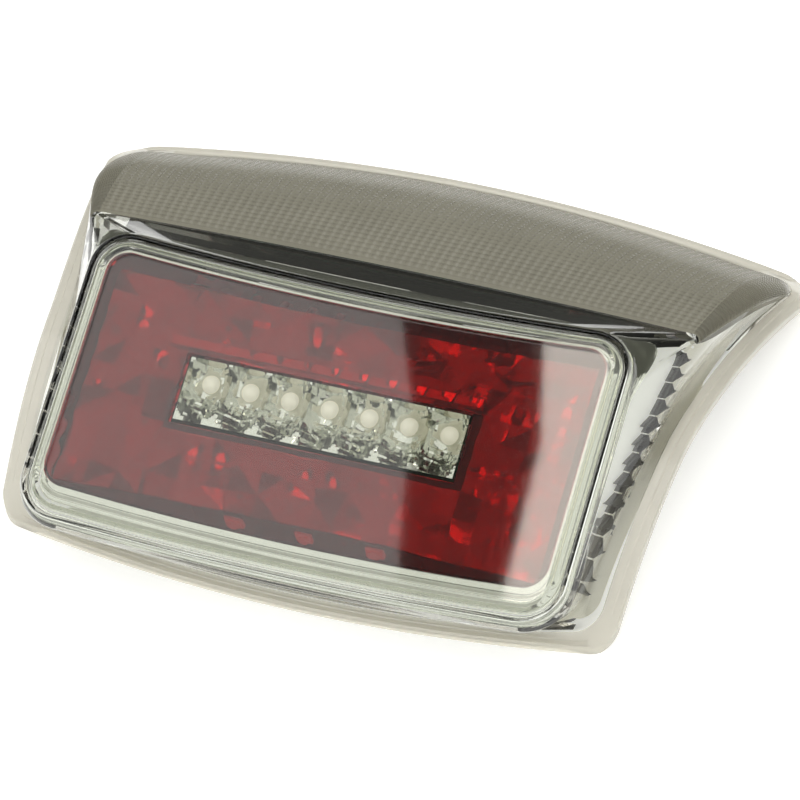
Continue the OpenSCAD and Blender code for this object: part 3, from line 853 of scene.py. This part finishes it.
def tray():
    """The faceted reflector behind the red lens, open for the LEDs, with a
    polished bar over the window and a dark step beside it. Its facets take
    bright, mid and dark chrome at random as painted reflections, and the step
    takes the dark chrome as painted shade."""
    left, right = WINDOW_X - WINDOW_HALF, WINDOW_X + WINDOW_HALF
    xs = np.unique(np.concatenate([
        np.arange(-52.4, left - 1, CELL), [left - 1.2],
        np.linspace(left + 4, right - 4, 10), [right + 1.2],
        np.linspace(right + 6, 50.4, 4)]))
    vs = np.array([4.2, 9, 14, WINDOW_LOW - 1, 25, 31, WINDOW_HIGH + 1.4, 42, 46.5,
                   51.2])
    x, v = np.meshgrid(xs, vs)
    open_x = (xs > left - 1.3) & (xs < right + 1.3)
    open_v = (vs > WINDOW_LOW - 1.1) & (vs < WINDOW_HIGH + 1.5)
    is_open = open_v[:, None] & open_x[None, :]
    free = np.zeros(x.shape, bool)
    free[1:-1, 1:-1] = True
    free &= ~is_open
    shift = np.zeros(x.shape + (2,))
    shift[free] = random.uniform(-FACET_SHIFT, FACET_SHIFT, (free.sum(), 2))
    bow = TRAY_BOW * (1 - (x / RED_HALF) ** 2)
    v = v - bow * (v - TRAY_MIDDLE) / TRAY_MIDDLE
    h = TRAY_TOP - random.uniform(0, FACET_SHIFT, x.shape)
    top = on_face(x + shift[..., 0], v + shift[..., 1], h)
    pts, faces = facets(top, top - face_up(TRAY_T), is_open)
    # Each facet takes one of the three chromes at random: the darker two are painted
    # reflections.
    facet_reflections = list(random.choice(3, len(faces), p=CHROME_PARTS))
    bar = block((left - 5, WINDOW_HIGH + 1.6, 0.0),
                (right + 1, WINDOW_HIGH + 4.0, 0.9))
    step = block((left - 6.5, WINDOW_LOW + 1, 0.0),
                 (left - 1.6, WINDOW_LOW + 9, 0.9))
    raised = [(on_face(*p.T) + face_up(TRAY_TOP - 0.2), f) for p, f in (bar, step)]
    pts, faces, part = joined((pts, faces), *raised)
    facet_reflections += [q + 2 for q in part[len(facet_reflections):]]
    piece("faceted_tray", pts, faces, [CHROME, MID_REFLECTION_CHROME, DARK_REFLECTION_CHROME, POLISHED, DARK_REFLECTION_CHROME],
          "housing", ["main_reflector"], angle=3,
          which=facet_reflections)


# Heights of the cups over the face, and the rows of each one's grid.
CUP_TOP = -2.65
CUP_FLOOR = LED_BOARD_H + 1.65
CUP_T = 0.7
CUP_ACROSS = 20
CUP_UP = 30
FLUTE_H = 0.9
RIPPLE = 0.3


def led_x(k):
    """Where LED k, counted from 1, stands across the face."""
    return WINDOW_X + LED_PITCH * (k - (LED_COUNT + 1) / 2)


def cups():
    """A deep chromed cell round each LED, fluted below it."""
    parts = []
    low, high = WINDOW_LOW + 1.0, WINDOW_HIGH - 0.4
    depth = CUP_TOP - CUP_FLOOR - 0.6
    for k in range(1, LED_COUNT + 1):
        x, v = face_grid(-LED_PITCH / 2, LED_PITCH / 2, low, high, CUP_ACROSS,
                         CUP_UP)
        reach = np.where(v < LED_V, LED_V - low, high - LED_V)
        round_way = np.hypot(x / (LED_PITCH / 2), (v - LED_V) / reach)
        h = CUP_FLOOR + 0.4 + depth * np.clip(round_way, 0, 1.25) ** 2 / 1.5
        coarse = random.normal(0, 1, (9, 7))
        ripple = RIPPLE * coarse[np.arange(CUP_UP + 1)[:, None] * 8 // CUP_UP,
                                 np.arange(CUP_ACROSS + 1)[None] * 6 // CUP_ACROSS]
        below = np.clip((LED_V - 3 - v) / 3, 0, 1)
        flute = FLUTE_H * abs(np.sin(x * math.pi / (LED_PITCH / 2))) * below
        rougher = 1.6 if k == 1 else 1.0
        clear_of_led = np.clip(np.hypot(x, v - LED_V) - LED_R - 0.4, 0, 1)
        h = np.minimum(h + (ripple * rougher + flute) * clear_of_led, CUP_TOP)
        h[:, 0] = h[:, -1] = h[0] = h[-1] = CUP_TOP
        top = on_face(x + led_x(k), v, h)
        parts.append(slab(top, np.broadcast_to(face_up(-CUP_T), top.shape)))
    pts, faces, _ = joined(*parts)
    piece("led_cups", pts, faces, [CHROME], "housing",
          ["led_reflector"], angle=12)


def leds():
    """Square four-leg LEDs with round domes, standing on their board."""
    r = LED_R
    dome = [(r * math.cos(a), r + 0.1 + r * math.sin(a))
            for a in np.radians(np.linspace(0, 84, 9))]
    body = block((-3.5, -3.5, 0.35), (3.5, 3.5, 1.5), 0.25)
    head = turned([(r, 1.4)] + dome, 32)
    legs = [block((x - 0.35, y - 0.3, 0.0), (x + 0.35, y + 0.3, 0.4), 0.05)
            for x in (-2.4, 2.4) for y in (-3.1, 3.1)]
    pts, faces, which = joined(body, head, *legs)
    for k in range(1, LED_COUNT + 1):
        placed = on_face(pts[:, 0] + led_x(k), pts[:, 1] + LED_V,
                         pts[:, 2] + LED_BOARD_H)
        piece("led_unit_%d" % k, placed, faces, [WHITE, GLOWING_EPOXY, STEEL], "housing",
              ["led_%d" % k], which=[min(w, 2) for w in which])


# ------------------------------------------------------------ electronics

RESISTORS = 4
# Where a resistor's colour bands lie, as parts of its length.
BAND_AT = (0.32, 0.46, 0.6, 0.8)


def resistor_row():
    """Axial resistors side by side, waisted, with painted bands."""
    low, high = span("resistors")
    r = (high[2] - low[2]) / 2
    pitch = (high[0] - low[0] - 2 * r) / (RESISTORS - 1)
    long = high[1] - low[1]
    end = [(0.6, 0.0), (0.95, 0.15), (1, 0.45), (1, 1.0), (0.86, 1.4)]
    body = end + [(0.86, long - 1.4)] + [(a, long - b) for a, b in end[-2::-1]]
    bands = [[(0.88, at - 0.18), (0.9, at - 0.15), (0.9, at + 0.15),
              (0.88, at + 0.18)] for at in (part * long for part in BAND_AT)]
    parts = []
    for k in range(RESISTORS):
        foot = [low[0] + r + k * pitch, low[1], low[2] + r]
        for profile in [body] + bands:
            pts, faces = turned([(a * r, b) for a, b in profile], 20)
            parts.append((pts[:, [0, 2, 1]] * [-1, 1, 1] + foot, faces))
    pts, faces, which = joined(*parts)
    piece("resistor_row", pts, faces, [TAN, BAND], "housing",
          ["resistors"], which=[w % (1 + len(bands)) > 0 for w in which])


def can():
    """The capacitor: a sleeve that is crimped near one end, and its top."""
    low, high = span("capacitor")
    r = (high[2] - low[2]) / 2
    long = high[0] - low[0]
    sleeve = turned([(0.86 * r, 0), (r, 0.3), (r, 1.0), (0.88 * r, 1.3),
                     (r, 1.6), (r, long - 0.25), (0.9 * r, long)], 28)
    top = turned([(0.8 * r, long - 0.2), (0.8 * r, long - 0.05),
                  (0.7 * r, long - 0.02)], 28)
    pts, faces, which = joined(sleeve, top)
    y, z = (low[1] + high[1]) / 2, (low[2] + high[2]) / 2
    piece("capacitor_can", pts[:, [2, 0, 1]] + [low[0], y, z], faces,
          [SLEEVE, STEEL], "housing", ["capacitor"],
          which=which)


def chip(node, name, legs):
    """A moulded package with a chamfered top and bent legs."""
    low, high = span(node)
    parts = [block((low[0], low[1] + 0.6, low[2] + 0.2),
                   (high[0], high[1] - 0.6, high[2]), 0.35)]
    step = (high[0] - low[0]) / legs
    for side_y in (low[1], high[1] - 0.75):
        for k in range(legs):
            x = low[0] + (k + 0.5) * step
            parts.append(block((x - 0.3, side_y, low[2]),
                               (x + 0.3, side_y + 0.75, low[2] + 0.9), 0.1))
    pts, faces, which = joined(*parts)
    piece(name, pts, faces, [CHIP, STEEL], "housing", [node],
          which=[min(w, 1) for w in which])


FINISHES = {
    "base_housing": BLACK, "body_gasket": RUBBER, "lens_seal": RUBBER,
    "roof_reflector": CHROME, "led_board": BOARD, "board_screws": STEEL,
    "driver_board": BOARD, "plate_light_board": BOARD, "plate_leds": GLOWING_EPOXY,
    "terminal_block": WHITE, "terminal_blades": BRASS, "cable_grommet": RUBBER,
    "mount_grommet_left": RUBBER, "mount_grommet_right": RUBBER,
    "mount_sleeve_left": STEEL, "mount_sleeve_right": STEEL,
    "insert_left": BRASS, "insert_right": BRASS, "lens_screw_left": STEEL,
    "lens_screw_right": STEEL,
}


def finish_nodes():
    """Gives the CAD nodes that no piece replaces their materials."""
    for name, mat in FINISHES.items():
        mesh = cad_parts[name].data
        mesh.materials.clear()
        mesh.materials.append(mat)


# ----------------------------------------------------------------- stage

# The camera: degrees to the right, up and rolled; its distance; and where it
# aims, from the middle of the light's lower edge across and up the picture.
CAMERA_TURN = 23.45
CAMERA_LIFT = 48.55
CAMERA_ROLL = -6
CAMERA_AWAY = 1107.6
CAMERA_AIM = (23.7, 35.2)
CAMERA_LENS = 247.5


def camera():
    """Makes the camera, and returns where it is in millimetres."""
    az, el, roll = (math.radians(v) for v in (CAMERA_TURN, CAMERA_LIFT, CAMERA_ROLL))
    right = Vector((math.cos(az), math.sin(az), 0))
    up = Vector((-math.sin(az) * math.sin(el), math.cos(az) * math.sin(el),
                 math.cos(el)))
    back = right.cross(up)
    aim = Vector((0, -50, 0)) + CAMERA_AIM[0] * right + CAMERA_AIM[1] * up
    data = bpy.data.cameras.new("camera")
    data.sensor_width = 36
    data.lens = CAMERA_LENS
    data.clip_end = 20
    ob = bpy.data.objects.new("camera", data)
    ob.location = (aim + CAMERA_AWAY * back) * MM
    c, s = math.cos(roll), math.sin(roll)
    axes = (c * right + s * up, c * up - s * right, back)
    ob.rotation_euler = Matrix(axes).transposed().to_euler()
    bpy.context.scene.collection.objects.link(ob)
    bpy.context.scene.camera = ob
    return np.array(ob.location) / MM


def glow(name, colour, strength):
    """A material that only shines."""
    return surface(name, (0, 0, 0), 1.0, bump=0, Specular_IOR_Level=0,
                   Emission_Color=(*colour, 1), Emission_Strength=strength)


def staged(name, points, mat):
    """A flat piece of the stage, from millimetres."""
    mesh = bpy.data.meshes.new(name)
    mesh.from_pydata((np.asarray(points, float) * MM).tolist(), [],
                     [tuple(range(len(points)))])
    mesh.materials.append(mat)
    ob = bpy.data.objects.new(name, mesh)
    bpy.context.scene.collection.objects.link(ob)
    return ob


def reflected(ob):
    """Leaves an object to the rays that surfaces mirror or let through."""
    ob.visible_camera = False
    ob.visible_diffuse = False
    ob.visible_shadow = False


CARD_AWAY = 500.0


def card(name, outline, mat, eye):
    """A card that the face mirrors to the camera inside the outline, given
    across and up the face."""
    origin = on_face(0, 0, 0)
    normal = face_up(1)
    mirrored = eye - 2 * np.dot(eye - origin, normal) * normal
    points = []
    for x, v in outline:
        p = on_face(x, v, 0)
        way = (p - mirrored) / np.linalg.norm(p - mirrored)
        points.append(p + way * CARD_AWAY)
    reflected(staged(name, points, mat))


FLOOR_HALF = 3000
# The edge between the two cards, and the dark card's left edge, both up the
# face.
CARDS_MEET = [(45.8, -9), (45.2, 0.7), (43.9, 32.4), (38.4, 53.9)]
DARK_LEFT = [(5, 63), (8.6, 52.7), (15.9, 35), (23.4, 0), (25, -9)]
# The flag behind the light, which darkens the groove along the roof.
FLAG_HALF = 900
FLAG_Y = 95
FLAG_HIGH = 260


def stage(eye):
    """A white floor, the cards that the light mirrors, and the sky."""
    r = FLOOR_HALF
    paper = surface("floor", (0.93, 0.93, 0.91), 0.9, vary=0.01, patch=400, bump=0,
                    Emission_Color=(1, 1, 0.98, 1), Emission_Strength=0.4)
    staged("floor", [(-r, -r, 0), (r, -r, 0), (r, r, 0), (-r, r, 0)], paper)
    card("dark_card", DARK_LEFT + CARDS_MEET + [(36, 63)],
         glow("dark", (1, 0.95, 0.9), 0.12), eye)
    card("bright_card", [(45.8, -9), (75, -9), (75, 66), (35.4, 66)]
         + CARDS_MEET[:0:-1], glow("bright", (1, 0.94, 0.88), 4.3), eye)
    reflected(staged("flag", [(-FLAG_HALF, FLAG_Y, 1), (FLAG_HALF, FLAG_Y, 1),
                              (FLAG_HALF, FLAG_Y, FLAG_HIGH),
                              (-FLAG_HALF, FLAG_Y, FLAG_HIGH)],
                     glow("flag", (1, 1, 0.9), 0.12)))
    sky()
    bpy.context.scene.view_settings.view_transform = "Standard"


SKY_STRENGTH = 1.2


def sky():
    """White overhead, with soft dark shapes near the horizon, which give the
    chrome something to mirror."""
    world = bpy.data.worlds.new("world")
    world.use_nodes = True
    tree = world.node_tree
    where = tree.nodes.new("ShaderNodeTexCoord")
    split = tree.nodes.new("ShaderNodeSeparateXYZ")
    tree.links.new(where.outputs["Generated"], split.inputs["Vector"])
    shapes = tree.nodes.new("ShaderNodeTexNoise")
    shapes.inputs["Scale"].default_value = 2.2
    shapes.inputs["Detail"].default_value = 1
    tree.links.new(where.outputs["Generated"], shapes.inputs["Vector"])
    height = tree.nodes.new("ShaderNodeMapRange")
    for socket, value in (("From Min", 0.2), ("From Max", 0.75),
                          ("To Min", -0.12), ("To Max", 0.35)):
        height.inputs[socket].default_value = value
    tree.links.new(split.outputs["Z"], height.inputs["Value"])
    total = tree.nodes.new("ShaderNodeMath")
    tree.links.new(height.outputs["Result"], total.inputs[0])
    tree.links.new(shapes.outputs["Fac"], total.inputs[1])
    ramp = tree.nodes.new("ShaderNodeValToRGB")
    dark, light = ramp.color_ramp.elements
    dark.position = 0.42
    dark.color = (0.06, 0.065, 0.05, 1)
    light.position = 0.56
    light.color = (1, 1, 1, 1)
    tree.links.new(total.outputs[0], ramp.inputs["Fac"])
    tree.links.new(ramp.outputs["Color"], tree.nodes["Background"].inputs["Color"])
    tree.nodes["Background"].inputs["Strength"].default_value = SKY_STRENGTH
    bpy.context.scene.world = world


cover()
roof()
bezel()
liner(-1)
liner(1)
red_lens()
tray()
cups()
leds()
resistor_row()
can()
chip("bridge_rectifier", "rectifier_chip", 2)
chip("voltage_regulator", "regulator_chip", 3)
finish_nodes()
stage(camera())
